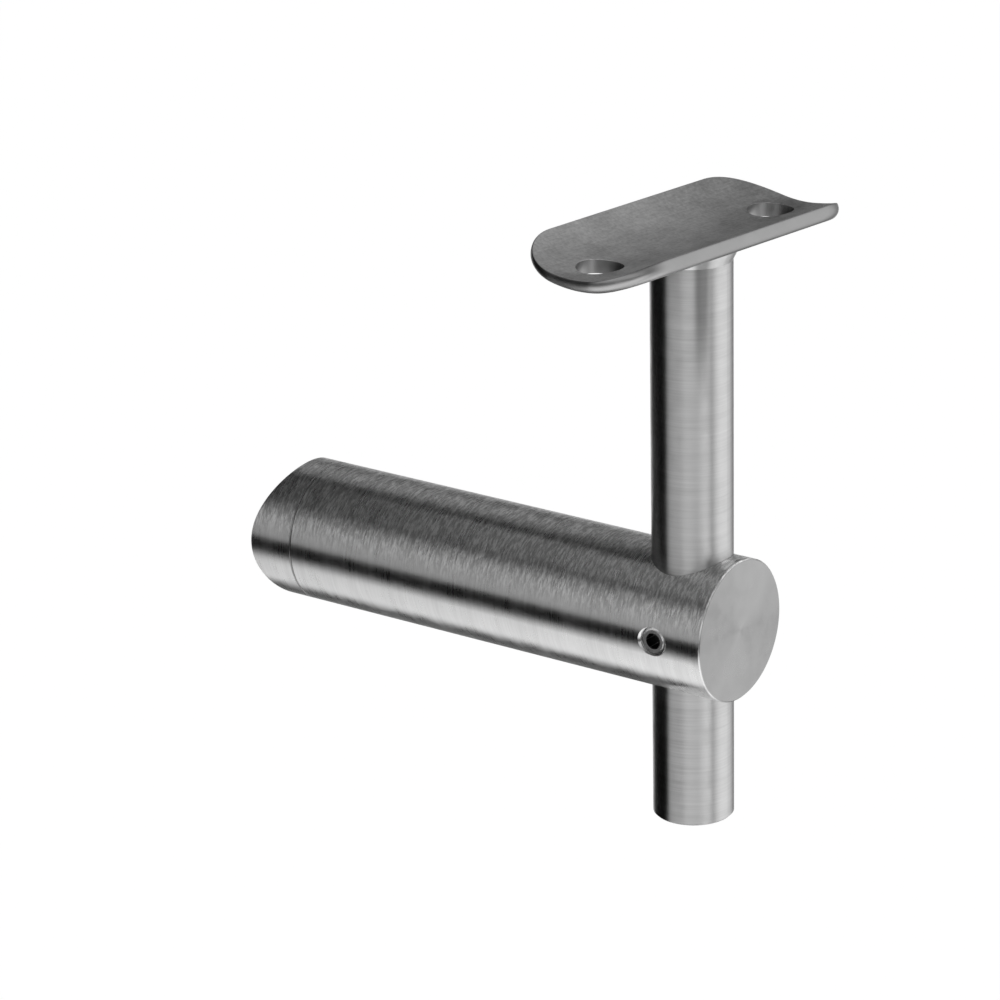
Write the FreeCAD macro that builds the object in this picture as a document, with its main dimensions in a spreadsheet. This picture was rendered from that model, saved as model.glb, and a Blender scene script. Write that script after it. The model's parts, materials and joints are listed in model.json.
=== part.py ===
import FreeCAD, Part
import os
import Sketcher
from FreeCAD import Placement, Rotation, Vector

# Handrail bracket.  Frame, in millimetres:
#   origin  where the arm's axis meets the seat for the vertical post
#   +X      along the arm, away from the post
#   +Z      up, along the support pin towards the rail

doc = FreeCAD.newDocument("handrail_bracket")

# ---------------------------------------------------------------- sizes

SIZES = [
    ("arm_dia", 25.0, "round bar of the arm and the post adapter"),
    ("arm_length", 87.5, "bar, rear face to front face"),
    ("arm_edge", 0.25, "broken edge at both ends of the bar"),
    ("pin_setback", 9.6, "pin axis behind the arm's front face"),
    ("pin_dia", 14.0, "support pin"),
    ("pin_play", 0.05, "radial clearance of the pin in its bore"),
    ("pin_drop", 35.5, "pin below the arm's axis"),
    ("pin_edge", 0.35, "chamfer of the pin's lower end"),
    ("seat_height", 68.1, "bottom of the rail seat above the arm's axis"),
    ("rail_dia", 50.8, "handrail that the saddle fits"),
    ("plate_thick", 2.4, "saddle plate"),
    ("plate_length", 58.0, "saddle along the rail"),
    ("plate_chord", 26.1, "saddle across, at its upper edges"),
    ("plate_corner", 10.4, "rounding of the four corners"),
    ("corner_share", 0.97, "most that the rounding takes of the plate's half width"),
    ("plate_upper_edge", 0.55, "rounding of the upper rim"),
    ("plate_lower_edge", 0.3, "chamfer of the lower rim"),
    ("plate_shift", -1.15, "middle of the plate beside the pin, along the rail"),
    ("plate_turn", -7.8, "saddle turned about the pin, degrees"),
    ("rail_hole_dia", 8.0, "screw holes of the saddle"),
    ("rail_hole_pitch", 42.3, "distance between those holes"),
    ("rail_hole_edge", 0.3, "chamfer of those holes"),
    ("weld_height", 2.3, "ground weld between pin and saddle"),
    ("weld_flare", 1.2, "weld toe outside the pin"),
    ("post_dia", 42.4, "post that the adapter fits"),
    ("adapter_length", 4.7, "seat bottom to the joint with the arm"),
    ("adapter_edge", 0.15, "broken edge at the joint with the arm"),
    ("spigot_dia", 16.0, "locating spigot of the adapter"),
    ("spigot_length", 2.5, "spigot in the arm"),
    ("spigot_play", 0.03, "radial clearance of the spigot"),
    ("spigot_gap", 0.3, "end clearance of the spigot"),
    ("fixing_hole_dia", 8.5, "hole of the adapter for the fixing screw"),
    ("fixing_core_dia", 6.8, "core of the thread in the arm"),
    ("fixing_core_depth", 24.0, "depth of that core from the arm's rear face"),
    ("drill_angle", 118.0, "point of the core drill, degrees"),
    ("clamp_dia", 5.0, "thread of the clamp screw"),
    ("clamp_sink_dia", 5.7, "countersink of its hole"),
    ("clamp_play", 0.06, "radial gap in the thread"),
    ("clamp_recess", 0.45, "screw below the arm's side"),
    ("clamp_tip_gap", 0.05, "screw tip to pin"),
    ("clamp_cone", 0.5, "bevel of both ends of the screw"),
    ("socket_across", 2.5, "hexagon socket across its flats"),
    ("socket_depth", 2.4, "hexagon socket"),
]

sizes = doc.addObject("Spreadsheet::Sheet", "sizes")
for row, (alias, value, note) in enumerate(SIZES, start=1):
    sizes.set("A%d" % row, alias)
    sizes.set("B%d" % row, "%g" % value)
    sizes.set("C%d" % row, note)
    sizes.setAlias("B%d" % row, alias)

# Sizes that follow from the ones above.
DERIVED = [
    ("arm_radius", "=arm_dia / 2"),
    ("pin_radius", "=pin_dia / 2"),
    ("post_radius", "=post_dia / 2"),
    ("rail_radius", "=rail_dia / 2"),
    ("under_radius", "=rail_radius + plate_thick"),
    ("pin_place", "=adapter_length + arm_length - pin_setback"),
    ("bore_radius", "=pin_radius + pin_play"),
    ("plate_half_angle", "=asin(plate_chord / rail_dia)"),
    ("widest_corner", "=corner_share * plate_chord / 2 * cos(plate_half_angle)"),
    ("rail_axis_height", "=seat_height + rail_radius"),
    ("pin_top", "=seat_height - plate_thick - weld_height"),
    ("adapter_horn", "=post_radius - sqrt(post_radius ^ 2 - arm_radius ^ 2)"),
    ("screw_radius", "=clamp_dia / 2 - clamp_play"),
    ("clamp_length", "=arm_radius - pin_radius - clamp_tip_gap - clamp_recess"),
]
for row, (alias, formula) in enumerate(DERIVED, start=len(SIZES) + 2):
    sizes.set("A%d" % row, alias)
    sizes.set("B%d" % row, formula)
    sizes.setAlias("B%d" % row, alias)
doc.recompute()


def size(alias):
    value = sizes.get(alias)
    return float(getattr(value, "Value", value))


# ---------------------------------------------------------------- helpers

def new_body(label):
    body = doc.addObject("PartDesign::Body", label)
    body.Label = label
    return body


def plane_of(body, role):
    for feature in body.Origin.OriginFeatures:
        if feature.Role == role:
            return feature


def new_sketch(body, role, name, offset=None):
    """A sketch on one of the body's own planes, `offset` along its normal."""
    sketch = body.newObject("Sketcher::SketchObject", name)
    sketch.AttachmentSupport = [(plane_of(body, role), "")]
    sketch.MapMode = "FlatFace"
    if offset is not None:
        sketch.setExpression("AttachmentOffset.Base.z", offset)
    return sketch


def name_constraint(sketch, index, name, formula):
    sketch.renameConstraint(index, name)
    sketch.setExpression("Constraints." + name, formula)


def add_circle(sketch, name, radius, across=None, along=None):
    """A circle with its radius, and its centre where one is given, bound to the sizes."""
    start = Vector(1.0 if across else 0.0, 1.0 if along else 0.0, 0)
    ring = sketch.addGeometry(Part.Circle(start, Vector(0, 0, 1), 1.0), False)
    index = sketch.addConstraint(Sketcher.Constraint("Radius", ring, 1.0))
    name_constraint(sketch, index, name + "_radius", radius)
    if across is None and along is None:
        sketch.addConstraint(Sketcher.Constraint("Coincident", ring, 3, -1, 1))
        return ring
    for kind, formula, tag in (("DistanceX", across, "_x"), ("DistanceY", along, "_y")):
        if formula is None:
            axis = -2 if kind == "DistanceX" else -1
            sketch.addConstraint(Sketcher.Constraint("PointOnObject", ring, 3, axis))
        else:
            index = sketch.addConstraint(Sketcher.Constraint(kind, -1, 1, ring, 3, 1.0))
            name_constraint(sketch, index, name + tag, formula)
    return ring


def add_profile(sketch, points):
    """A closed polygon; each corner is a pair of formulas, None standing for zero."""
    spots = []
    for across, along in points:
        spots.append(Vector(value_of(across), value_of(along), 0))
    lines = []
    for index, spot in enumerate(spots):
        following = spots[(index + 1) % len(spots)]
        lines.append(sketch.addGeometry(Part.LineSegment(spot, following), False))
    for index, line in enumerate(lines):
        following = lines[(index + 1) % len(lines)]
        sketch.addConstraint(Sketcher.Constraint("Coincident", line, 2, following, 1))
    for index, (across, along) in enumerate(points):
        line = lines[index]
        bind_point(sketch, line, "corner%d" % index, across, along, spots[index])
    return lines


def bind_point(sketch, line, name, across, along, spot):
    if across is None and along is None:
        sketch.addConstraint(Sketcher.Constraint("Coincident", line, 1, -1, 1))
        return
    for kind, formula, tag, value, axis in (
            ("DistanceX", across, "_x", spot.x, -2), ("DistanceY", along, "_y", spot.y, -1)):
        if formula is None:
            sketch.addConstraint(Sketcher.Constraint("PointOnObject", line, 1, axis))
        else:
            rule = Sketcher.Constraint(kind, -1, 1, line, 1, value)
            name_constraint(sketch, sketch.addConstraint(rule), name + tag, formula)


def value_of(formula):
    """The present value of a formula, used to draw a sketch near its solved form."""
    if formula is None:
        return 0.0
    sizes.set("H1", "=" + formula.replace("sizes.", ""))
    doc.recompute()
    value = sizes.get("H1")
    return float(getattr(value, "Value", value))


def pad(body, name, sketch, length, midplane=False, backwards=False):
    feature = body.newObject("PartDesign::Pad", name)
    feature.Profile = sketch
    feature.Midplane = midplane
    feature.Reversed = backwards
    feature.setExpression("Length", length)
    sketch.Visibility = False
    doc.recompute()
    return feature


def pocket(body, name, sketch, length=None, backwards=False):
    """A pocket of a given depth, or through everything on both sides."""
    feature = body.newObject("PartDesign::Pocket", name)
    feature.Profile = sketch
    feature.Reversed = backwards
    if length is None:
        feature.Type = 1
        feature.Midplane = True
    else:
        feature.setExpression("Length", length)
    sketch.Visibility = False
    doc.recompute()
    return feature


def turned(body, name, kind, sketch, axis):
    feature = body.newObject("PartDesign::" + kind, name)
    feature.Profile = sketch
    feature.ReferenceAxis = (sketch, [axis])
    feature.Angle = 360.0
    sketch.Visibility = False
    doc.recompute()
    return feature


def edges_where(feature, test):
    names = []
    for index, edge in enumerate(feature.Shape.Edges, start=1):
        if test(edge):
            names.append("Edge%d" % index)
    return names


def dress(body, name, kind, test, formula):
    """A fillet or chamfer on the tip's edges that pass the test."""
    base = body.Tip
    feature = body.newObject("PartDesign::" + kind, name)
    feature.Base = (base, edges_where(base, test))
    feature.setExpression("Radius" if kind == "Fillet" else "Size", formula)
    doc.recompute()
    return feature


def all_at(edge, axis, value, slack=1e-4):
    """True where the whole edge lies at one coordinate."""
    box = edge.BoundBox
    low = getattr(box, axis + "Min")
    high = getattr(box, axis + "Max")
    return abs(low - value) < slack and abs(high - value) < slack


def radius_of(edge):
    return getattr(edge.Curve, "Radius", 0.0)


# ---------------------------------------------------------------- arm

arm = new_body("arm")

section = new_sketch(arm, "YZ_Plane", "arm_section", "sizes.adapter_length")
add_circle(section, "bar", "sizes.arm_radius")
bar = pad(arm, "arm_bar", section, "sizes.arm_length")

front_x = size("adapter_length") + size("arm_length")
dress(arm, "arm_ends", "Chamfer",
      lambda edge: abs(radius_of(edge) - size("arm_radius")) < 1e-6
      and (all_at(edge, "X", front_x) or all_at(edge, "X", size("adapter_length"))),
      "sizes.arm_edge")

bore = new_sketch(arm, "XY_Plane", "pin_bore_section")
add_circle(bore, "bore", "sizes.bore_radius", across="sizes.pin_place")
pocket(arm, "pin_bore", bore)

# Recess for the adapter's spigot, core of the fixing thread and its drill point, turned in one.
rear = new_sketch(arm, "XZ_Plane", "rear_bore_section")
recess_end = "sizes.adapter_length + sizes.spigot_length + sizes.spigot_gap"
core_end = "sizes.adapter_length + sizes.fixing_core_depth"
recess_radius = "sizes.spigot_dia / 2 + sizes.spigot_play"
core_radius = "sizes.fixing_core_dia / 2"
point_end = core_end + " + " + core_radius + " / tan(sizes.drill_angle / 2 * 1 deg)"
add_profile(rear, [
    ("sizes.adapter_length", None),
    ("sizes.adapter_length", recess_radius),
    (recess_end, recess_radius),
    (recess_end, core_radius),
    (core_end, core_radius),
    (point_end, None),
])
turned(arm, "rear_bore", "Groove", rear, "H_Axis")

# Tapped hole of the clamp screw, from the side of the arm into the pin's bore.
clamp = new_sketch(arm, "XZ_Plane", "clamp_hole_centre", "sizes.arm_radius")
add_circle(clamp, "thread", "sizes.clamp_dia / 2", across="sizes.pin_place")
doc.recompute()
hole = arm.newObject("PartDesign::Hole", "clamp_hole")
hole.Profile = clamp
hole.ThreadType = 0
hole.DepthType = 0
hole.DrillPoint = 0
hole.HoleCutType = 2
hole.HoleCutCountersinkAngle = 90.0
hole.setExpression("Diameter", "sizes.clamp_dia")
hole.setExpression("HoleCutDiameter", "sizes.clamp_sink_dia")
hole.setExpression("Depth", "sizes.arm_radius")
clamp.Visibility = False
doc.recompute()

# ---------------------------------------------------------------- post adapter

adapter = new_body("post_adapter")

disc = new_sketch(adapter, "YZ_Plane", "adapter_section", "sizes.adapter_length")
add_circle(disc, "disc", "sizes.arm_radius")
pad(adapter, "adapter_disc", disc, "sizes.adapter_length + sizes.adapter_horn", backwards=True)
dress(adapter, "adapter_joint_edge", "Chamfer",
      lambda edge: all_at(edge, "X", size("adapter_length")), "sizes.adapter_edge")

spigot = new_sketch(adapter, "YZ_Plane", "spigot_section", "sizes.adapter_length")
add_circle(spigot, "spigot", "sizes.spigot_dia / 2")
pad(adapter, "adapter_spigot", spigot, "sizes.spigot_length")

seat = new_sketch(adapter, "XY_Plane", "post_section")
add_circle(seat, "post", "sizes.post_radius", across="-sizes.post_radius")
pocket(adapter, "post_seat", seat)

fixing = new_sketch(adapter, "YZ_Plane", "fixing_hole_section")
add_circle(fixing, "hole", "sizes.fixing_hole_dia / 2")
pocket(adapter, "fixing_hole", fixing)

# ---------------------------------------------------------------- support pin

pin = new_body("support_pin")
pin.setExpression("Placement.Base.x", "sizes.pin_place")

outline = new_sketch(pin, "XZ_Plane", "pin_outline")
add_profile(outline, [
    (None, "-sizes.pin_drop"),
    ("sizes.pin_radius - sizes.pin_edge", "-sizes.pin_drop"),
    ("sizes.pin_radius", "-sizes.pin_drop + sizes.pin_edge"),
    ("sizes.pin_radius", "sizes.pin_top"),
    (None, "sizes.pin_top"),
])
turned(pin, "pin_bar", "Revolution", outline, "V_Axis")

# ---------------------------------------------------------------- rail saddle
# Pressed plate; its own Y runs along the rail, and its Placement turns it about the pin.

saddle = new_body("rail_saddle")
saddle.Placement = Placement(Vector(0, 0, 0), Rotation(Vector(0, 0, 1), size("plate_turn")))
saddle.setExpression("Placement.Base.x", "sizes.pin_place")
saddle.setExpression("Placement.Rotation.Angle", "sizes.plate_turn * 1 deg")

strip = new_sketch(saddle, "XZ_Plane", "plate_section", "-sizes.plate_shift")
half_angle = size("plate_half_angle")
bottom = FreeCAD.Units.parseQuantity("270 deg").getValueAs("rad").Value
spread = FreeCAD.Units.Quantity("%.12g deg" % half_angle).getValueAs("rad").Value
middle = Vector(0, size("rail_axis_height"), 0)
arcs = []
for radius in (size("rail_radius"), size("under_radius")):
    ring = Part.Circle(middle, Vector(0, 0, 1), radius)
    arc = Part.ArcOfCircle(ring, bottom - spread, bottom + spread)
    arcs.append(strip.addGeometry(arc, False))
upper, lower = arcs
left = strip.addGeometry(Part.LineSegment(strip.getPoint(lower, 1), strip.getPoint(upper, 1)), False)
right = strip.addGeometry(Part.LineSegment(strip.getPoint(upper, 2), strip.getPoint(lower, 2)), False)
for rule in (("Coincident", left, 1, lower, 1), ("Coincident", left, 2, upper, 1),
             ("Coincident", right, 1, upper, 2), ("Coincident", right, 2, lower, 2),
             ("Coincident", upper, 3, lower, 3), ("PointOnObject", upper, 3, -2),
             ("PointOnObject", upper, 3, left), ("PointOnObject", upper, 3, right),
             ("Symmetric", upper, 1, upper, 2, -2)):
    strip.addConstraint(Sketcher.Constraint(*rule))
for kind, items, name, formula in (
        ("Radius", (upper,), "seat_radius", "sizes.rail_radius"),
        ("Radius", (lower,), "under_radius", "sizes.under_radius"),
        ("DistanceY", (-1, 1, upper, 3), "axis_height", "sizes.rail_axis_height"),
        ("DistanceX", (upper, 1, upper, 2), "chord", "sizes.plate_chord")):
    rule = Sketcher.Constraint(kind, *items, value_of(formula))
    name_constraint(strip, strip.addConstraint(rule), name, formula)
pad(saddle, "plate_strip", strip, "sizes.plate_length", midplane=True)

dress(saddle, "plate_corners", "Fillet",
      lambda edge: edge.Curve.TypeId == "Part::GeomLine"
      and abs(edge.Length - size("plate_thick")) < 1e-4,
      "min(sizes.plate_corner; sizes.widest_corner)")


def on_surface(edge, radius):
    """True where the edge lies at one distance from the rail's axis."""
    first, last = edge.ParameterRange
    for parameter in (first, (first + last) / 2, last):
        point = edge.valueAt(parameter)
        away = Vector(point.x, 0, point.z - size("rail_axis_height")).Length
        if abs(away - radius) > 1e-3:
            return False
    return True


def at_hole(edge):
    reach = size("rail_hole_dia") / 2 + 0.01
    point = edge.valueAt(edge.FirstParameter)
    from_centre = abs(point.y - size("plate_shift")) - size("rail_hole_pitch") / 2
    return abs(point.x) <= reach and abs(from_centre) <= reach


def rim_at(radius):
    return lambda edge: on_surface(edge, radius) and not at_hole(edge)


def hole_rim(edge):
    closed = edge.isClosed() or edge.Length > size("rail_hole_dia")
    return at_hole(edge) and closed


dress(saddle, "plate_upper_rim", "Fillet", rim_at(size("rail_radius")), "sizes.plate_upper_edge")
dress(saddle, "plate_lower_rim", "Chamfer", rim_at(size("under_radius")), "sizes.plate_lower_edge")

holes = new_sketch(saddle, "XY_Plane", "rail_hole_centres")
for name, sign in (("near", "-"), ("far", "")):
    place = sign + "sizes.rail_hole_pitch / 2 + sizes.plate_shift"
    add_circle(holes, name, "sizes.rail_hole_dia / 2", along=place)
pocket(saddle, "rail_holes", holes)
dress(saddle, "rail_hole_edges", "Chamfer", hole_rim, "sizes.rail_hole_edge")

# ---------------------------------------------------------------- weld
# Ground weld that closes the pin's flat top against the curved underside of the plate.

weld = new_body("saddle_weld")
weld.Placement = saddle.Placement
weld.setExpression("Placement.Base.x", "sizes.pin_place")
weld.setExpression("Placement.Rotation.Angle", "sizes.plate_turn * 1 deg")

neck = new_sketch(weld, "XZ_Plane", "weld_outline")
# The blank reaches past the underside, which then trims it.
rise = "sizes.under_radius - sqrt(sizes.under_radius ^ 2 - (sizes.pin_radius + sizes.weld_flare) ^ 2)"
blank_top = "sizes.seat_height - sizes.plate_thick + " + rise
lines = add_profile(neck, [
    (None, "sizes.pin_top"),
    ("sizes.pin_radius", "sizes.pin_top"),
    ("sizes.pin_radius", "sizes.pin_top + sizes.weld_height - sizes.weld_flare"),
    ("sizes.pin_radius + sizes.weld_flare", blank_top),
    (None, blank_top),
])
turned(weld, "weld_neck", "Revolution", neck, "V_Axis")

under = new_sketch(weld, "XZ_Plane", "plate_underside")
add_circle(under, "underside", "sizes.under_radius", along="sizes.rail_axis_height")
pocket(weld, "weld_trim", under)

# ---------------------------------------------------------------- clamp screw
# Set screw with a hexagon socket; its own Z points out of the arm's side.

screw = new_body("clamp_screw")
outward = Rotation(Vector(1, 0, 0), 90)
screw.Placement = Placement(Vector(0, 0, 0), outward)
screw.setExpression("Placement.Base.x", "sizes.pin_place")
screw.setExpression("Placement.Base.y", "-sizes.pin_radius - sizes.clamp_tip_gap")

shank = new_sketch(screw, "XZ_Plane", "screw_outline")
add_profile(shank, [
    (None, None),
    ("sizes.screw_radius - sizes.clamp_cone", None),
    ("sizes.screw_radius", "sizes.clamp_cone"),
    ("sizes.screw_radius", "sizes.clamp_length - sizes.clamp_cone"),
    ("sizes.screw_radius - sizes.clamp_cone", "sizes.clamp_length"),
    (None, "sizes.clamp_length"),
])
turned(screw, "screw_shank", "Revolution", shank, "V_Axis")

socket = new_sketch(screw, "XY_Plane", "socket_section", "sizes.clamp_length")
corner = value_of("sizes.socket_across / sqrt(3)")
spots = []
for step in range(6):
    turn = Rotation(Vector(0, 0, 1), 60 * step)
    spots.append(turn.multVec(Vector(corner, 0, 0)))
sides = []
for index in range(6):
    side = Part.LineSegment(spots[index], spots[(index + 1) % 6])
    sides.append(socket.addGeometry(side, False))
guide = socket.addGeometry(Part.Circle(Vector(0, 0, 0), Vector(0, 0, 1), corner), True)
socket.addConstraint(Sketcher.Constraint("Coincident", guide, 3, -1, 1))
for index in range(6):
    following = sides[(index + 1) % 6]
    socket.addConstraint(Sketcher.Constraint("Coincident", sides[index], 2, following, 1))
    socket.addConstraint(Sketcher.Constraint("PointOnObject", sides[index], 1, guide))
    if index:
        socket.addConstraint(Sketcher.Constraint("Equal", sides[0], sides[index]))
socket.addConstraint(Sketcher.Constraint("PointOnObject", sides[0], 1, -1))
rule = Sketcher.Constraint("Radius", guide, corner)
name_constraint(socket, socket.addConstraint(rule), "corner_radius", "sizes.socket_across / sqrt(3)")
pocket(screw, "hexagon_socket", socket, "sizes.socket_depth")

# ---------------------------------------------------------------- checks and files

doc.recompute()
PIECES = [arm, adapter, pin, saddle, weld, screw]
for feature in doc.Objects:
    if "Invalid" in feature.State or "Error" in feature.State:
        raise RuntimeError("not built: " + feature.Name)
for piece in PIECES:
    if piece.Shape.isNull() or not piece.Shape.isValid() or len(piece.Shape.Solids) != 1:
        raise RuntimeError("bad solid: " + piece.Label)

os.makedirs("parts", exist_ok=True)
for piece in PIECES:
    piece.Shape.exportStep("parts/%s.step" % piece.Label)
    box = piece.Shape.BoundBox
    print(piece.Label, "volume %.1f" % piece.Shape.Volume,
          "X %.2f..%.2f Y %.2f..%.2f Z %.2f..%.2f" % (
              box.XMin, box.XMax, box.YMin, box.YMax, box.ZMin, box.ZMax))
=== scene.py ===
import json
from math import asin, cos, pi, radians, sin

import bpy
from bpy.props import FloatProperty, FloatVectorProperty, PointerProperty
from bpy.types import Operator, Panel, PropertyGroup
from mathutils import Matrix, Vector


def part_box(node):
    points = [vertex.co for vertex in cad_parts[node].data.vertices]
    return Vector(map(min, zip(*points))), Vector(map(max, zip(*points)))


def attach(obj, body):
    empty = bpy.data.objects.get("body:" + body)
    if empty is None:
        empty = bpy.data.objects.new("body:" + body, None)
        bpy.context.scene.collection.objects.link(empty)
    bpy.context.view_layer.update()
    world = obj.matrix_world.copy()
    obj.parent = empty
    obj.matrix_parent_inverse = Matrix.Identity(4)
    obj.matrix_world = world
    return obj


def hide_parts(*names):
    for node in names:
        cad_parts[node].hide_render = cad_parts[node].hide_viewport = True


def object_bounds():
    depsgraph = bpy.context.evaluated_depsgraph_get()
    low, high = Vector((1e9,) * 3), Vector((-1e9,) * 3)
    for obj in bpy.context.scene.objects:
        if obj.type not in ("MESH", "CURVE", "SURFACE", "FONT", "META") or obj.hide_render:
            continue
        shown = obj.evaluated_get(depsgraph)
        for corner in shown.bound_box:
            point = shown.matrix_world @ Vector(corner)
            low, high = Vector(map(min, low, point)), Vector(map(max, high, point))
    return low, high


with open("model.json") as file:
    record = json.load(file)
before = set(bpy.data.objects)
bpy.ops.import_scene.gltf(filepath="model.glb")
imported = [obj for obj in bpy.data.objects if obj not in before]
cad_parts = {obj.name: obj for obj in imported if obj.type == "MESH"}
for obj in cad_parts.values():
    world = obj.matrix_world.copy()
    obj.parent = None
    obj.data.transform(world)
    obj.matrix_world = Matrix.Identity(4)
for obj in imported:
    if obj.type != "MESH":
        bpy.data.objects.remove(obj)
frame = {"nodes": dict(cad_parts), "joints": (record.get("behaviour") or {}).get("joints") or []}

bl_info = {
    "name": "Handrail Bracket",
    "version": (1, 0, 0),
    "blender": (4, 5, 0),
    "location": "View3D > Sidebar > Bracket",
    "description": "Finishes a post-mounted handrail bracket in brushed stainless steel",
    "category": "Object",
}

MM = 0.001
CAD_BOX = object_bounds()
NODES = frame["nodes"]
JOINTS = {joint["name"]: joint for joint in frame["joints"]}
PIN_AXIS = Vector(JOINTS["saddle_swivel"]["pos_m"])
PIN_TRAVEL = JOINTS["pin_height"]["range_m"]
PARTING_LINE, ARM_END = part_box("arm")[0][0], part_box("arm")[1][0]


# ---------------------------------------------------------------- sizes and colours

class SteelSettings(PropertyGroup):
    """Tone and grain of the steel."""
    arm_colour: FloatVectorProperty(
        name="Arm", description="Tone of the satin arm and adapter", subtype="COLOR",
        default=(0.66, 0.66, 0.66), min=0.0, max=1.0)
    pin_colour: FloatVectorProperty(
        name="Pin", description="Tone of the support pin", subtype="COLOR",
        default=(0.62, 0.62, 0.62), min=0.0, max=1.0)
    saddle_colour: FloatVectorProperty(
        name="Saddle", description="Tone of the rolled saddle plate", subtype="COLOR",
        default=(0.72, 0.72, 0.72), min=0.0, max=1.0)
    screw_colour: FloatVectorProperty(
        name="Clamp screw", description="Tone of the set screw", subtype="COLOR",
        default=(0.85, 0.85, 0.85), min=0.0, max=1.0)
    arm_roughness: FloatProperty(
        name="Arm roughness", description="Blur of the arm's reflections",
        default=0.3, min=0.0, max=1.0, subtype="FACTOR")
    pin_roughness: FloatProperty(
        name="Pin roughness", description="Blur of the pin's reflections",
        default=0.33, min=0.0, max=1.0, subtype="FACTOR")
    saddle_roughness: FloatProperty(
        name="Seat roughness", description="Blur of the reflections in the saddle's seat",
        default=0.55, min=0.0, max=1.0, subtype="FACTOR")
    rim_roughness: FloatProperty(
        name="Rim roughness", description="Blur of the reflections in the saddle's rim",
        default=0.36, min=0.0, max=1.0, subtype="FACTOR")
    screw_roughness: FloatProperty(
        name="Screw roughness", description="Blur of the set screw's reflections",
        default=0.3, min=0.0, max=1.0, subtype="FACTOR")
    scratch_pitch: FloatProperty(
        name="Scratch pitch", description="Distance between the grinding lines",
        default=0.3 * MM, min=0.01 * MM, max=5 * MM, unit="LENGTH", precision=5)


class SaddleSettings(PropertyGroup):
    """Sizes of the saddle plate."""
    rail_diameter: FloatProperty(
        name="Rail", description="Diameter of the rail that the saddle carries",
        default=50.8 * MM, min=10 * MM, unit="LENGTH", precision=4)
    thickness: FloatProperty(
        name="Thickness", description="Thickness of the plate",
        default=2.4 * MM, min=0.5 * MM, unit="LENGTH", precision=4)
    length: FloatProperty(
        name="Length", description="Plate along the rail",
        default=58 * MM, min=10 * MM, unit="LENGTH", precision=4)
    chord: FloatProperty(
        name="Chord", description="Plate across the rail, between its upper edges",
        default=26.1 * MM, min=5 * MM, unit="LENGTH", precision=4)
    corner: FloatProperty(
        name="Corner", description="Rounding of the four corners",
        default=9.9 * MM, min=0.5 * MM, unit="LENGTH", precision=4)
    upper_rim: FloatProperty(
        name="Upper rim", description="Rounding of the upper rim",
        default=0.25 * MM, min=0.01 * MM, unit="LENGTH", precision=4)
    lower_rim: FloatProperty(
        name="Lower rim", description="Rounding of the lower rim",
        default=1.9 * MM, min=0.01 * MM, unit="LENGTH", precision=4)
    hole_diameter: FloatProperty(
        name="Holes", description="Diameter of the two screw holes",
        default=8 * MM, min=1 * MM, unit="LENGTH", precision=4)
    hole_pitch: FloatProperty(
        name="Hole pitch", description="Distance between the screw holes",
        default=42.3 * MM, min=5 * MM, unit="LENGTH", precision=4)
    seat_height: FloatProperty(
        name="Seat height", description="Lowest line of the seat above the arm's middle",
        default=68.1 * MM, min=20 * MM, unit="LENGTH", precision=4)
    shift: FloatProperty(
        name="Shift", description="Middle of the plate beside the pin, along the rail",
        default=-1.15 * MM, unit="LENGTH", precision=4)
    turn: FloatProperty(
        name="Turn", description="Saddle turned about the pin",
        default=radians(-7.8), subtype="ANGLE")


class StageSettings(PropertyGroup):
    """Floor of the studio."""
    floor_drop: FloatProperty(
        name="Floor", description="Floor below the pin's lowest position",
        default=60 * MM, min=0.0, unit="LENGTH")
    floor_size: FloatProperty(
        name="Floor size", description="Side of the square floor",
        default=3.0, min=0.1, unit="LENGTH")


# ---------------------------------------------------------------- node helpers

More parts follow.
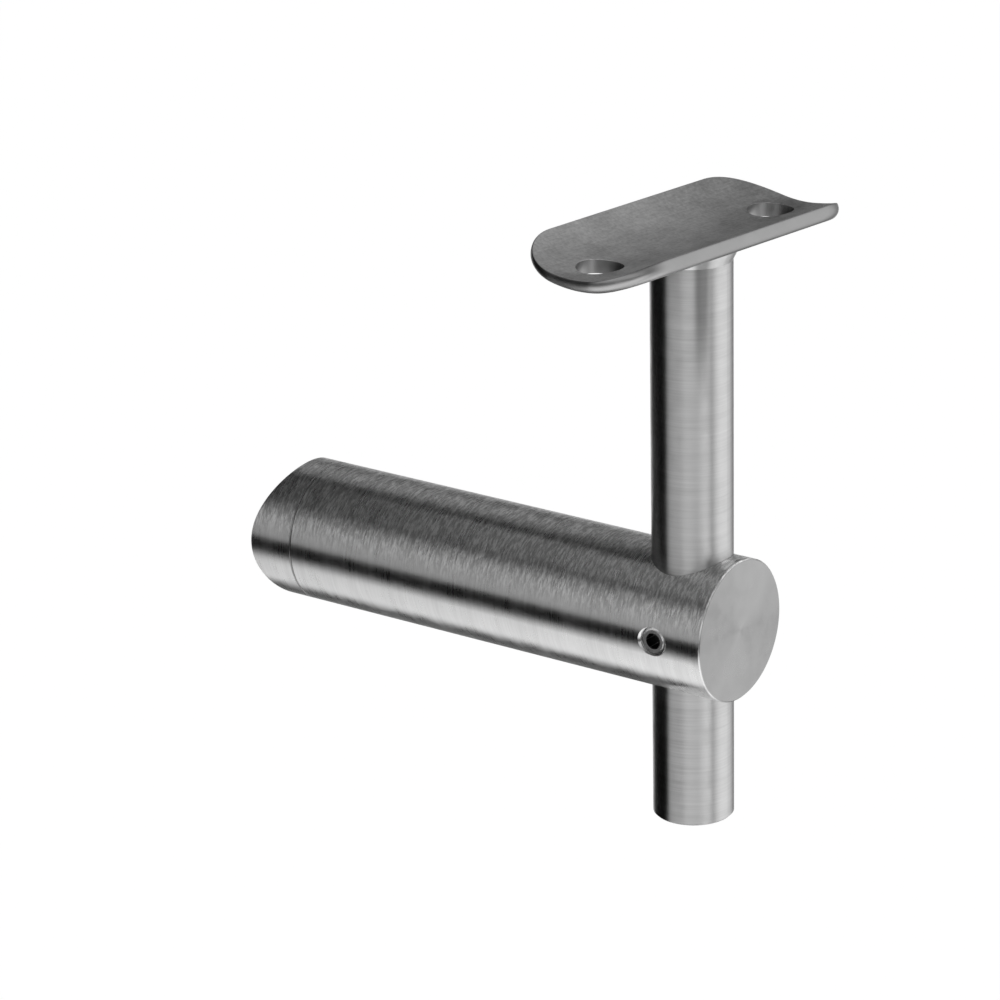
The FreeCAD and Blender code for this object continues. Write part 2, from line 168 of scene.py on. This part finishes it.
class Nodes:
    """Builds a node tree by short calls: a socket or a plain value goes in, a socket comes out."""

    def __init__(self, tree):
        self.tree = tree
        tree.nodes.clear()

    def add(self, kind, **settings):
        node = self.tree.nodes.new(kind)
        for name, value in settings.items():
            setattr(node, name, value)
        return node

    def put(self, value, socket):
        if isinstance(value, bpy.types.NodeSocket):
            self.tree.links.new(value, socket)
        else:
            socket.default_value = value

    def math(self, operation, *values):
        node = self.add("ShaderNodeMath", operation=operation)
        for value, socket in zip(values, node.inputs):
            self.put(value, socket)
        return node.outputs[0]

    def times(self, first, second):
        return self.math("MULTIPLY", first, second)

    def plus(self, first, second):
        return self.math("ADD", first, second)

    def split(self, vector):
        node = self.add("ShaderNodeSeparateXYZ")
        self.put(vector, node.inputs[0])
        return node.outputs

    def reach(self, first, second):
        """Distance from a line, out of the two coordinates across it."""
        squares = (self.math("POWER", value, 2.0) for value in (first, second))
        return self.math("SQRT", self.plus(*squares))

    def place(self, centre, turn=(0.0, 0.0, 0.0)):
        """Object coordinates about a centre, then turned."""
        shift = self.add("ShaderNodeMapping")
        self.put(self.add("ShaderNodeTexCoord").outputs["Object"], shift.inputs["Vector"])
        shift.inputs["Location"].default_value = [-value for value in centre]
        return self.stretched(shift.outputs[0], (1.0, 1.0, 1.0), turn)

    def stretched(self, vector, scale, turn=(0.0, 0.0, 0.0)):
        node = self.add("ShaderNodeMapping")
        self.put(vector, node.inputs["Vector"])
        node.inputs["Rotation"].default_value = turn
        node.inputs["Scale"].default_value = scale
        return node.outputs[0]

    def noise(self, vector, scale, detail, roughness):
        node = self.add("ShaderNodeTexNoise")
        self.put(vector, node.inputs["Vector"])
        node.inputs["Scale"].default_value = scale
        node.inputs["Detail"].default_value = detail
        node.inputs["Roughness"].default_value = roughness
        return node.outputs["Fac"]

    def fade(self, value, start, end, low=0.0, high=1.0, smooth=True):
        """Goes from low to high while the value goes from start to end."""
        node = self.add("ShaderNodeMapRange")
        node.interpolation_type = "SMOOTHSTEP" if smooth else "LINEAR"
        for name, item in (("Value", value), ("From Min", start), ("From Max", end),
                           ("To Min", low), ("To Max", high)):
            self.put(item, node.inputs[name])
        return node.outputs["Result"]

    def swap(self, mask, outside, inside):
        """One value outside a mask and another inside it."""
        return self.fade(mask, 0.0, 1.0, outside, inside)

    def grey(self, tone, colour):
        """A colour made lighter or darker by a factor."""
        node = self.add("ShaderNodeVectorMath", operation="SCALE")
        node.inputs[0].default_value = colour
        self.put(tone, node.inputs["Scale"])
        return node.outputs[0]

    def bump(self, height, strength, distance, under=None):
        node = self.add("ShaderNodeBump")
        self.put(height, node.inputs["Height"])
        if under is not None:
            self.put(under, node.inputs["Normal"])
        node.inputs["Strength"].default_value = strength
        node.inputs["Distance"].default_value = distance
        return node.outputs[0]

    def mix(self, share, first, second, output):
        """Mixes two shaders into the tree's output."""
        node = self.add("ShaderNodeMixShader")
        self.put(share, node.inputs["Fac"])
        self.put(first.outputs[0], node.inputs[1])
        self.put(second.outputs[0], node.inputs[2])
        self.put(node.outputs[0], self.add(output).inputs["Surface"])


def new_material(name):
    material = bpy.data.materials.new(name)
    material.use_nodes = True
    return material, Nodes(material.node_tree)


def set_material(piece, material):
    piece.data.materials.clear()
    piece.data.materials.append(material)


# ---------------------------------------------------------------- finishes

GROUND_ANISOTROPY = 0.92
QUARTER_TURN = 0.25
ROUND_STRETCH = {"X": (1.0, 0.03, 0.03), "Z": (0.03, 0.03, 1.0)}
BAND_PITCHES = 5                # width of the coarse bands, in pitches of the fine rings
STROKE_STRETCH, STROKE_TURN = (2400.0, 620.0, 620.0), (0.0, 0.0, 0.3)
MARK_STRETCH = (1.0, 0.12, 1.0)

# Noises: scale, detail and roughness.
RINGS = (1.0, 3.0, 0.65)
BANDS = (1.0, 2.0, 0.5)
BLOTCHES = (260.0, 3.0, 0.6)
STROKES = (1.0, 3.0, 0.7)
CLOUDS = (170.0, 4.0, 0.62)
GRAIN = (1500.0, 3.0, 0.65)
MARKS = (2600.0, 3.0, 0.6)
SCREW_GRAIN = (3000.0, 2.0, 0.5)

# Fades: start and end of what goes in, then what comes out at each.
RING_TONE = (0.25, 0.75, 0.9, 1.06)
BAND_TONE = (0.3, 0.7, 0.96, 1.03)
RING_ROUGH = (0.3, 0.7, -0.03, 0.03)
BLOTCH_ROUGH = (0.35, 0.7, -0.02, 0.05)
# painted highlight: the scratches on the arm's top are made lighter in colour
STROKE_PAINTED_HIGHLIGHT = (0.38, 0.66, -0.16, 0.5)
COARSE_TOP = (1 * MM, 7 * MM)
SEAM_TONE = (0.08 * MM, 0.3 * MM, 0.3, 1.0)
CLOUD_TONE = (0.3, 0.7, -0.12, 0.1)
GRAIN_TONE = (0.3, 0.7, -0.13, 0.13)
MARK_TONE = (0.35, 0.65, -0.07, 0.07)
CLOUD_ROUGH = (0.3, 0.7, -0.04, 0.04)
# the seat grows darker towards its +Y end, along the rail
DARKER_END = (-2 * MM, 24 * MM, 0.0, -0.3)
SCREW_TONE = (0.3, 0.7, 0.9, 1.06)

# Bumps: strength and height.
RING_BUMP = (0.35, 0.0035 * MM)
STROKE_BUMP = (1.0, 0.07 * MM)
SEAT_BUMP = (0.25, 0.01 * MM)
SCREW_BUMP = (0.2, 0.005 * MM)

FACE_EDGE = (0.12 * MM, 0.02 * MM)      # before a bar's end: its face's finish starts, is full
# painted shade: a bar's end face at 0.62 of its tone; its rings keep 0.15 of their bump
FACE_PAINTED_SHADE, FACE_RINGS = 0.62, 0.15
SEAT_EDGE = (0.04 * MM, 0.1 * MM)       # outside the rail's radius: the seat's finish ends
# painted shade: all of the saddle off its seat (rims, edges, hole walls, underside) at half tone
RIM_PAINTED_SHADE = 0.5
# painted shade: a dark disc in the screw's hexagon socket
SOCKET_RADIUS, SOCKET_EDGE, SOCKET_PAINTED_SHADE = 1.35 * MM, 0.15 * MM, 0.08

STREAK_SIDE = radians(-42)                # darker streak below the weld: where it is round the pin
STREAK_WIDTH = (0.03, 0.3)                # half width in radians, full and then faded out
STREAK_HEIGHT = (34 * MM, 62 * MM)
STREAK_TONE = 0.42


def steel_shader(nodes, colour, roughness, normal, axis=None):
    """Metal; ground round an axis, its reflections stretch along that axis, across the lines."""
    shader = nodes.add("ShaderNodeBsdfPrincipled")
    shader.inputs["Metallic"].default_value = 1.0
    nodes.put(colour, shader.inputs["Base Color"])
    nodes.put(roughness, shader.inputs["Roughness"])
    nodes.put(normal, shader.inputs["Normal"])
    if axis:
        tangent = nodes.add("ShaderNodeTangent", direction_type="RADIAL", axis=axis)
        nodes.put(tangent.outputs[0], shader.inputs["Tangent"])
        shader.inputs["Anisotropic"].default_value = GROUND_ANISOTROPY
        shader.inputs["Anisotropic Rotation"].default_value = QUARTER_TURN
    output = nodes.add("ShaderNodeOutputMaterial")
    nodes.put(shader.outputs[0], output.inputs["Surface"])


def ground_bar(name, axis, centre, colour, roughness, pitch, end_face=None, seam=None):
    """Satin finish of a bar ground round its axis, with a coarser top whose scratches carry a
    painted highlight and a smoother end face in painted shade, or else with a darker streak that
    fades downwards."""
    material, nodes = new_material(name)
    place = nodes.place(centre)
    x, y, z = nodes.split(place)
    along = {"X": x, "Z": z}[axis]
    fine, coarse = ([share / width for share in ROUND_STRETCH[axis]]
                    for width in (pitch, BAND_PITCHES * pitch))
    rings = nodes.noise(nodes.stretched(place, fine), *RINGS)
    bands = nodes.noise(nodes.stretched(place, coarse), *BANDS)
    blotches = nodes.noise(place, *BLOTCHES)
    tone = nodes.times(nodes.fade(rings, *RING_TONE, smooth=False), nodes.fade(bands, *BAND_TONE))
    low, high = (roughness + change for change in RING_ROUGH[2:])
    rough = nodes.plus(nodes.fade(rings, *RING_ROUGH[:2], low, high),
                       nodes.fade(blotches, *BLOTCH_ROUGH))
    if end_face is None:
        # a darker streak on one side, fading out downwards
        tone = nodes.times(tone, nodes.swap(dark_streak(nodes, x, y, z), 1.0, STREAK_TONE))
        normal = nodes.bump(rings, *RING_BUMP)
    else:
        face = nodes.fade(along, *(end_face - before for before in FACE_EDGE))
        strokes = nodes.noise(nodes.stretched(place, STROKE_STRETCH, STROKE_TURN), *STROKES)
        top = nodes.times(nodes.fade(z, *COARSE_TOP), nodes.swap(face, 1.0, 0.0))
        # painted highlight: the top's scratches are lightened in colour, besides their real bump
        bright = nodes.times(nodes.fade(strokes, *STROKE_PAINTED_HIGHLIGHT), top)
        tone = nodes.times(tone, nodes.plus(bright, 1.0))
        # painted shade: the end face is darkened
        tone = nodes.times(tone, nodes.swap(face, 1.0, FACE_PAINTED_SHADE))
        away = nodes.math("ABSOLUTE", nodes.math("SUBTRACT", along, seam))
        tone = nodes.times(tone, nodes.fade(away, *SEAM_TONE))
        height = nodes.times(rings, nodes.swap(face, 1.0, FACE_RINGS))
        normal = nodes.bump(nodes.times(strokes, top), *STROKE_BUMP,
                            nodes.bump(height, *RING_BUMP))
    steel_shader(nodes, nodes.grey(tone, colour), rough, normal, axis)
    return material


def dark_streak(nodes, x, y, z):
    """A darker streak on one side of the pin that fades out downwards."""
    turn = nodes.math("SUBTRACT", nodes.math("ARCTAN2", y, x), STREAK_SIDE)
    beside = nodes.math("ABSOLUTE", nodes.math("WRAP", turn, pi, -pi))
    return nodes.times(nodes.fade(beside, *STREAK_WIDTH, 1.0, 0.0), nodes.fade(z, *STREAK_HEIGHT))


def rolled_plate(name, sizes, steel):
    """Rolled plate: its seat is matt and cloudy with faint marks and darker towards one end, its
    rim smoother and in painted shade.
    """
    material, nodes = new_material(name)
    seat = sizes.rail_diameter / 2
    place = nodes.place((PIN_AXIS.x, PIN_AXIS.y, sizes.seat_height + seat),
                        (0.0, 0.0, -sizes.turn))
    x, y, z = nodes.split(place)
    start, end = (seat + beyond for beyond in SEAT_EDGE)
    on_seat = nodes.fade(nodes.reach(x, z), start, end, 1.0, 0.0)
    clouds = nodes.noise(place, *CLOUDS)
    grain = nodes.noise(place, *GRAIN)
    marks = nodes.noise(nodes.stretched(place, MARK_STRETCH), *MARKS)
    tone = nodes.plus(nodes.fade(clouds, *CLOUD_TONE, smooth=False),
                      nodes.fade(grain, *GRAIN_TONE, smooth=False))
    tone = nodes.plus(tone, nodes.fade(marks, *MARK_TONE, smooth=False))
    # the seat darkens towards its +Y end
    tone = nodes.times(nodes.plus(tone, nodes.fade(y, *DARKER_END)), on_seat)
    # painted shade: off the seat the tone drops to half
    tone = nodes.plus(tone, nodes.swap(on_seat, RIM_PAINTED_SHADE, 1.0))
    rough = nodes.plus(nodes.swap(on_seat, steel.rim_roughness, steel.saddle_roughness),
                       nodes.fade(clouds, *CLOUD_ROUGH))
    normal = nodes.bump(nodes.plus(grain, marks), *SEAT_BUMP)
    steel_shader(nodes, nodes.grey(tone, steel.saddle_colour), rough, normal)
    return material


def set_screw(name, centre, steel):
    """Bright turned steel with painted shade in its hexagon socket."""
    material, nodes = new_material(name)
    place = nodes.place(centre)
    x, _, z = nodes.split(place)
    grain = nodes.noise(place, *SCREW_GRAIN)
    # painted shade: the hexagon socket is darkened to a near-black disc
    socket = nodes.fade(nodes.reach(x, z), SOCKET_RADIUS, SOCKET_RADIUS + SOCKET_EDGE,
                        SOCKET_PAINTED_SHADE, 1.0)
    tone = nodes.times(nodes.fade(grain, *SCREW_TONE), socket)
    normal = nodes.bump(grain, *SCREW_BUMP)
    steel_shader(nodes, nodes.grey(tone, steel.screw_colour), steel.screw_roughness, normal)
    return material


# ---------------------------------------------------------------- modelling helpers

def deselect():
    bpy.ops.object.select_all(action="DESELECT")


def make_active(piece):
    deselect()
    piece.select_set(True)
    bpy.context.view_layer.objects.active = piece


def select_faces(piece, test):
    """In edit mode, selects the faces that pass the test and no others."""
    bpy.ops.mesh.select_all(action="DESELECT")
    bpy.ops.object.mode_set(mode="OBJECT")
    for face in piece.data.polygons:
        face.select = test(face)
    bpy.ops.object.mode_set(mode="EDIT")


def round_rim(radius, segments):
    """Insets the selected face in steps along a quarter circle that bulges along its normal."""
    for step in range(segments):
        here, there = (radians(90.0 * number / segments) for number in (step, step + 1))
        bpy.ops.mesh.inset(thickness=radius * (cos(here) - cos(there)),
                           depth=radius * (sin(there) - sin(here)), use_even_offset=True)


def apply_modifier(piece, kind, **settings):
    make_active(piece)
    modifier = piece.modifiers.new(kind.lower(), kind)
    for name, value in settings.items():
        setattr(modifier, name, value)
    bpy.ops.object.modifier_apply(modifier=modifier.name)


# ---------------------------------------------------------------- pieces

CORNER_STEPS = 20
LOWER_RIM_STEPS, UPPER_RIM_STEPS = 8, 3
STRIPS = 44                     # flat strips across the plate before it is curved
UPRIGHT = 0.9                   # a face whose normal is this far up or down is a flat one
DRILL_SIDES, DRILL_DEPTH = 72, 10 * MM
SMOOTH_ANGLE = radians(40)


class BRACKET_OT_arm(Operator):
    """Finish the arm and the post adapter"""
    bl_idname = "bracket.arm"
    bl_label = "Arm and adapter"

    def execute(self, context):
        steel = context.scene.bracket_steel
        for node, slot in (("arm", "arm_steel"), ("post_adapter", "adapter_steel")):
            material = ground_bar(slot, "X", (0, 0, 0), steel.arm_colour, steel.arm_roughness,
                                  steel.scratch_pitch, ARM_END, PARTING_LINE)
            set_material(NODES[node], material)
        return {"FINISHED"}


class BRACKET_OT_pin(Operator):
    """Finish the support pin and the weld on top of it"""
    bl_idname = "bracket.pin"
    bl_label = "Support pin"

    def execute(self, context):
        steel = context.scene.bracket_steel
        centre = (PIN_AXIS.x, PIN_AXIS.y, 0)
        for node, slot in (("support_pin", "pin_steel"), ("saddle_weld", "weld_steel")):
            material = ground_bar(slot, "Z", centre, steel.pin_colour, steel.pin_roughness,
                                  steel.scratch_pitch)
            set_material(NODES[node], material)
        return {"FINISHED"}


class BRACKET_OT_saddle(Operator):
    """Model the rail saddle and finish it"""
    bl_idname = "bracket.saddle"
    bl_label = "Rail saddle"

    def execute(self, context):
        sizes, steel = context.scene.bracket_saddle, context.scene.bracket_steel
        plate = flat_plate(sizes)
        curve_plate(plate, sizes)
        drill_plate(plate, sizes)
        make_active(plate)
        plate.rotation_euler[2] = sizes.turn
        plate.location = (PIN_AXIS.x, PIN_AXIS.y, 0)
        bpy.ops.object.transform_apply(location=True, rotation=True, scale=True)
        bpy.ops.object.shade_smooth_by_angle(angle=SMOOTH_ANGLE)
        set_material(plate, rolled_plate("saddle_steel", sizes, steel))
        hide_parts("rail_saddle")
        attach(plate, "saddle")
        return {"FINISHED"}


def flat_plate(sizes):
    """The plate laid flat, its upper face at zero height and its rims rounded."""
    width = sizes.rail_diameter * asin(sizes.chord / sizes.rail_diameter)
    deselect()
    bpy.ops.mesh.primitive_plane_add(size=1, location=(0, 0, 0))
    plate = bpy.context.object
    plate.name = "saddle_plate"
    bpy.ops.object.mode_set(mode="EDIT")
    bpy.ops.mesh.select_all(action="SELECT")
    bpy.ops.transform.resize(value=(width, sizes.length, 1))
    bpy.ops.transform.translate(value=(0, 0, -sizes.upper_rim))
    bpy.ops.mesh.bevel(offset=sizes.corner, segments=CORNER_STEPS, affect="VERTICES")
    bpy.ops.mesh.select_all(action="SELECT")
    wall = sizes.thickness - sizes.upper_rim - sizes.lower_rim
    bpy.ops.mesh.extrude_region_move(TRANSFORM_OT_translate={"value": (0, 0, -wall)})
    bpy.ops.mesh.select_all(action="SELECT")
    bpy.ops.mesh.normals_make_consistent(inside=False)
    select_faces(plate, lambda face: face.normal.z < -UPRIGHT)
    round_rim(sizes.lower_rim, LOWER_RIM_STEPS)
    select_faces(plate, lambda face: face.normal.z > UPRIGHT)
    round_rim(sizes.upper_rim, UPPER_RIM_STEPS)
    for number in range(1, STRIPS):
        bpy.ops.mesh.select_all(action="SELECT")
        bpy.ops.mesh.bisect(plane_co=(width * (number / STRIPS - 0.5), 0, 0), plane_no=(1, 0, 0))
    bpy.ops.object.mode_set(mode="OBJECT")
    return plate


def curve_plate(plate, sizes):
    """Wraps the flat plate under the rail, in the middle of the pin's axis but for its shift."""
    seat = sizes.rail_diameter / 2
    for vertex in plate.data.vertices:
        across, along, height = vertex.co
        reach = seat - height
        vertex.co = (reach * sin(across / seat), along + sizes.shift,
                     sizes.seat_height + seat - reach * cos(across / seat))


def drill_plate(plate, sizes):
    for side in (-1, 1):
        deselect()
        bpy.ops.mesh.primitive_cylinder_add(
            vertices=DRILL_SIDES, radius=sizes.hole_diameter / 2, depth=DRILL_DEPTH,
            location=(0, side * sizes.hole_pitch / 2 + sizes.shift, sizes.seat_height))
        drill = bpy.context.object
        apply_modifier(plate, "BOOLEAN", operation="DIFFERENCE", solver="EXACT", object=drill)
        make_active(drill)
        bpy.ops.object.delete()


class BRACKET_OT_screw(Operator):
    """Finish the clamp screw"""
    bl_idname = "bracket.screw"
    bl_label = "Clamp screw"

    def execute(self, context):
        centre = [(start + end) / 2 for start, end in zip(*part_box("clamp_screw"))]
        material = set_screw("screw_steel", centre, context.scene.bracket_steel)
        set_material(NODES["clamp_screw"], material)
        return {"FINISHED"}


# ---------------------------------------------------------------- stage

ROOM_LIGHT = 0.004              # brightness of the dark room between the cards
HALF_TURN = 180.0

# Cards of the studio, seen only in reflections.  Each is a patch on the sky, laid out round the Z
# axis, from +X, or round the X axis, from +Y, and it rises towards that axis.  In degrees: start
# and end of the angle, with the width of the soft edge before and after, and the same for the
# rise.  Last comes the brightness.
CARDS = [
    ("side_softbox", "X", 166.0, 188.5, 50.0, 3.0, -10.0, 60.0, 38.0, 20.0, 0.88),
    ("white_table", "X", 230.0, 262.0, 20.0, 16.0, -31.0, 60.0, 10.0, 20.0, 1.58),
    ("table_edge", "X", 300.0, 330.0, 14.0, 20.0, -50.0, 0.0, 20.0, 20.0, 0.16),
    ("right_wall", "Z", 32.0, 50.0, 56.0, 62.0, -60.0, 30.0, 20.0, 30.0, 1.12),
    ("right_table", "Z", 32.0, 50.0, 60.0, 62.0, -85.0, -46.0, 2.0, 10.0, 1.5),
    ("front_wall", "Z", 288.0, 308.0, 30.0, 36.0, -80.0, -32.0, 10.0, 6.0, 1.5),
    ("back_wall", "Z", 50.0, 100.0, 20.0, 30.0, 18.0, 60.0, 22.0, 20.0, 0.48),
    ("rear_edge", "Z", 112.0, 148.0, 20.0, 14.0, -26.0, -3.0, 8.0, 6.0, 0.75),
    ("key_softbox", "Z", 330.0, 365.0, 15.0, 15.0, 28.0, 45.0, 8.0, 10.0, 0.5),
]


def card_mask(nodes, value, start, end, soft_start, soft_end, turning=False):
    """One between start and end, fading out over the soft edges; a turning value wraps round."""
    if turning:
        middle, half = (start + end) / 2, (end - start) / 2
        value = nodes.math("WRAP", nodes.math("SUBTRACT", value, middle), HALF_TURN, -HALF_TURN)
        start, end = -half, half
    return nodes.times(nodes.fade(value, start - soft_start, start),
                       nodes.fade(value, end, end + soft_end, 1.0, 0.0))


def studio_world(nodes):
    """White to the camera; for the metal a dark room with a white table and soft boxes."""
    x, y, z = nodes.split(nodes.add("ShaderNodeTexCoord").outputs["Generated"])
    angle = {"Z": nodes.math("DEGREES", nodes.math("ARCTAN2", y, x)),
             "X": nodes.math("DEGREES", nodes.math("ARCTAN2", z, y))}
    rise = {"Z": nodes.math("DEGREES", nodes.math("ARCSINE", z)),
            "X": nodes.math("DEGREES", nodes.math("ARCSINE", x))}
    light = ROOM_LIGHT
    for _, axis, *numbers, bright in CARDS:
        start, end, soft_start, soft_end, low, high, soft_low, soft_high = numbers
        mask = nodes.times(card_mask(nodes, angle[axis], start, end, soft_start, soft_end, True),
                           card_mask(nodes, rise[axis], low, high, soft_low, soft_high))
        light = nodes.math("MAXIMUM", nodes.times(mask, bright), light)
    room, white = nodes.add("ShaderNodeBackground"), nodes.add("ShaderNodeBackground")
    room.inputs["Color"].default_value = white.inputs["Color"].default_value = (1, 1, 1, 1)
    nodes.put(light, room.inputs["Strength"])
    to_camera = nodes.add("ShaderNodeLightPath").outputs["Is Camera Ray"]
    nodes.mix(to_camera, room, white, "ShaderNodeOutputWorld")


# Soft boxes that hang close to the bracket: middle, size along X and Y, and brightness.
SOFTBOXES = [
    ("overhead_softbox", (40 * MM, -60 * MM, 165 * MM), (165 * MM, 130 * MM), 0.3),
    ("rear_softbox", (-155 * MM, 145 * MM, 165 * MM), (186 * MM, 150 * MM), 0.26),
]


def add_softbox(name, place, size, brightness):
    """An area lamp that faces down, as bright as a white card times its brightness."""
    deselect()
    bpy.ops.object.light_add(type="AREA", location=place)
    lamp = bpy.context.object
    lamp.name = name
    lamp.data.shape = "RECTANGLE"
    lamp.data.size, lamp.data.size_y = size
    lamp.data.energy = brightness * pi * size[0] * size[1]
    lamp.visible_camera = False


FLOOR_TONE = 0.8
FLOOR_GLOW, GLOW_SHARE = 1.09, 0.9      # together they show the lit floor as white


def add_floor(stage):
    """Plain white floor; the camera sees it as white, with a trace of the bracket's shadow."""
    deselect()
    low = CAD_BOX[0][2] + PIN_TRAVEL[0] - stage.floor_drop
    bpy.ops.mesh.primitive_plane_add(size=stage.floor_size, location=(PIN_AXIS.x / 2, 0, low))
    floor = bpy.context.object
    floor.name = "floor"
    material, nodes = new_material("floor_white")
    matt = nodes.add("ShaderNodeBsdfDiffuse")
    matt.inputs["Color"].default_value = (FLOOR_TONE, FLOOR_TONE, FLOOR_TONE, 1)
    glow = nodes.add("ShaderNodeEmission")
    glow.inputs["Strength"].default_value = FLOOR_GLOW
    to_camera = nodes.add("ShaderNodeLightPath").outputs["Is Camera Ray"]
    nodes.mix(nodes.times(to_camera, GLOW_SHARE), matt, glow, "ShaderNodeOutputMaterial")
    set_material(floor, material)
    floor.visible_glossy = False


CAMERA_OFFSET = (409.5 * MM, -609.0 * MM, 292.5 * MM)   # from where the arm and the pin cross
CAMERA_DIRECTION = (-0.55755, 0.75471, -0.34576)
CAMERA_ROLL = radians(-1.113)
FOCAL_SHARE = 4.627             # focal length over the sensor's width
SENSOR = 36.0
CLIP_START, CLIP_END = 0.01, 10.0


def add_camera(scene):
    deselect()
    place = Vector((PIN_AXIS.x, 0, 0)) + Vector(CAMERA_OFFSET)
    bpy.ops.object.camera_add(location=place)
    camera = bpy.context.object
    camera.name = "camera"
    forward = Vector(CAMERA_DIRECTION).normalized()
    level = forward.cross(Vector((0, 0, 1))).normalized()
    right = level * cos(CAMERA_ROLL) + level.cross(forward) * sin(CAMERA_ROLL)
    up = right.cross(forward)
    turn = Matrix((right, up, -forward)).transposed()
    camera.matrix_world = Matrix.Translation(place) @ turn.to_4x4()
    camera.data.sensor_width = SENSOR
    camera.data.lens = FOCAL_SHARE * SENSOR
    camera.data.clip_start, camera.data.clip_end = CLIP_START, CLIP_END
    scene.camera = camera


class BRACKET_OT_stage(Operator):
    """Add the floor, the lamps, the studio's reflections and the camera"""
    bl_idname = "bracket.stage"
    bl_label = "Stage"

    def execute(self, context):
        scene = context.scene
        scene.view_settings.view_transform = "Standard"
        world = bpy.data.worlds.new("studio")
        world.use_nodes = True
        scene.world = world
        studio_world(Nodes(world.node_tree))
        add_floor(scene.bracket_stage)
        for softbox in SOFTBOXES:
            add_softbox(*softbox)
        add_camera(scene)
        return {"FINISHED"}


# ---------------------------------------------------------------- panel and registration

class BRACKET_PT_panel(Panel):
    """Lists the bracket's steps"""
    bl_label = "Handrail Bracket"
    bl_idname = "BRACKET_PT_panel"
    bl_space_type = "VIEW_3D"
    bl_region_type = "UI"
    bl_category = "Bracket"

    def draw(self, context):
        for step in STEPS:
            self.layout.operator(step.bl_idname)


STEPS = (BRACKET_OT_arm, BRACKET_OT_pin, BRACKET_OT_saddle, BRACKET_OT_screw, BRACKET_OT_stage)
CLASSES = (SteelSettings, SaddleSettings, StageSettings) + STEPS + (BRACKET_PT_panel,)


def register():
    for item in CLASSES:
        bpy.utils.register_class(item)
    bpy.types.Scene.bracket_steel = PointerProperty(type=SteelSettings)
    bpy.types.Scene.bracket_saddle = PointerProperty(type=SaddleSettings)
    bpy.types.Scene.bracket_stage = PointerProperty(type=StageSettings)


def unregister():
    del bpy.types.Scene.bracket_stage
    del bpy.types.Scene.bracket_saddle
    del bpy.types.Scene.bracket_steel
    for item in reversed(CLASSES):
        bpy.utils.unregister_class(item)


def main():
    register()
    bpy.ops.bracket.arm()
    bpy.ops.bracket.pin()
    bpy.ops.bracket.saddle()
    bpy.ops.bracket.screw()
    bpy.ops.bracket.stage()


if __name__ == "__main__":
    main()
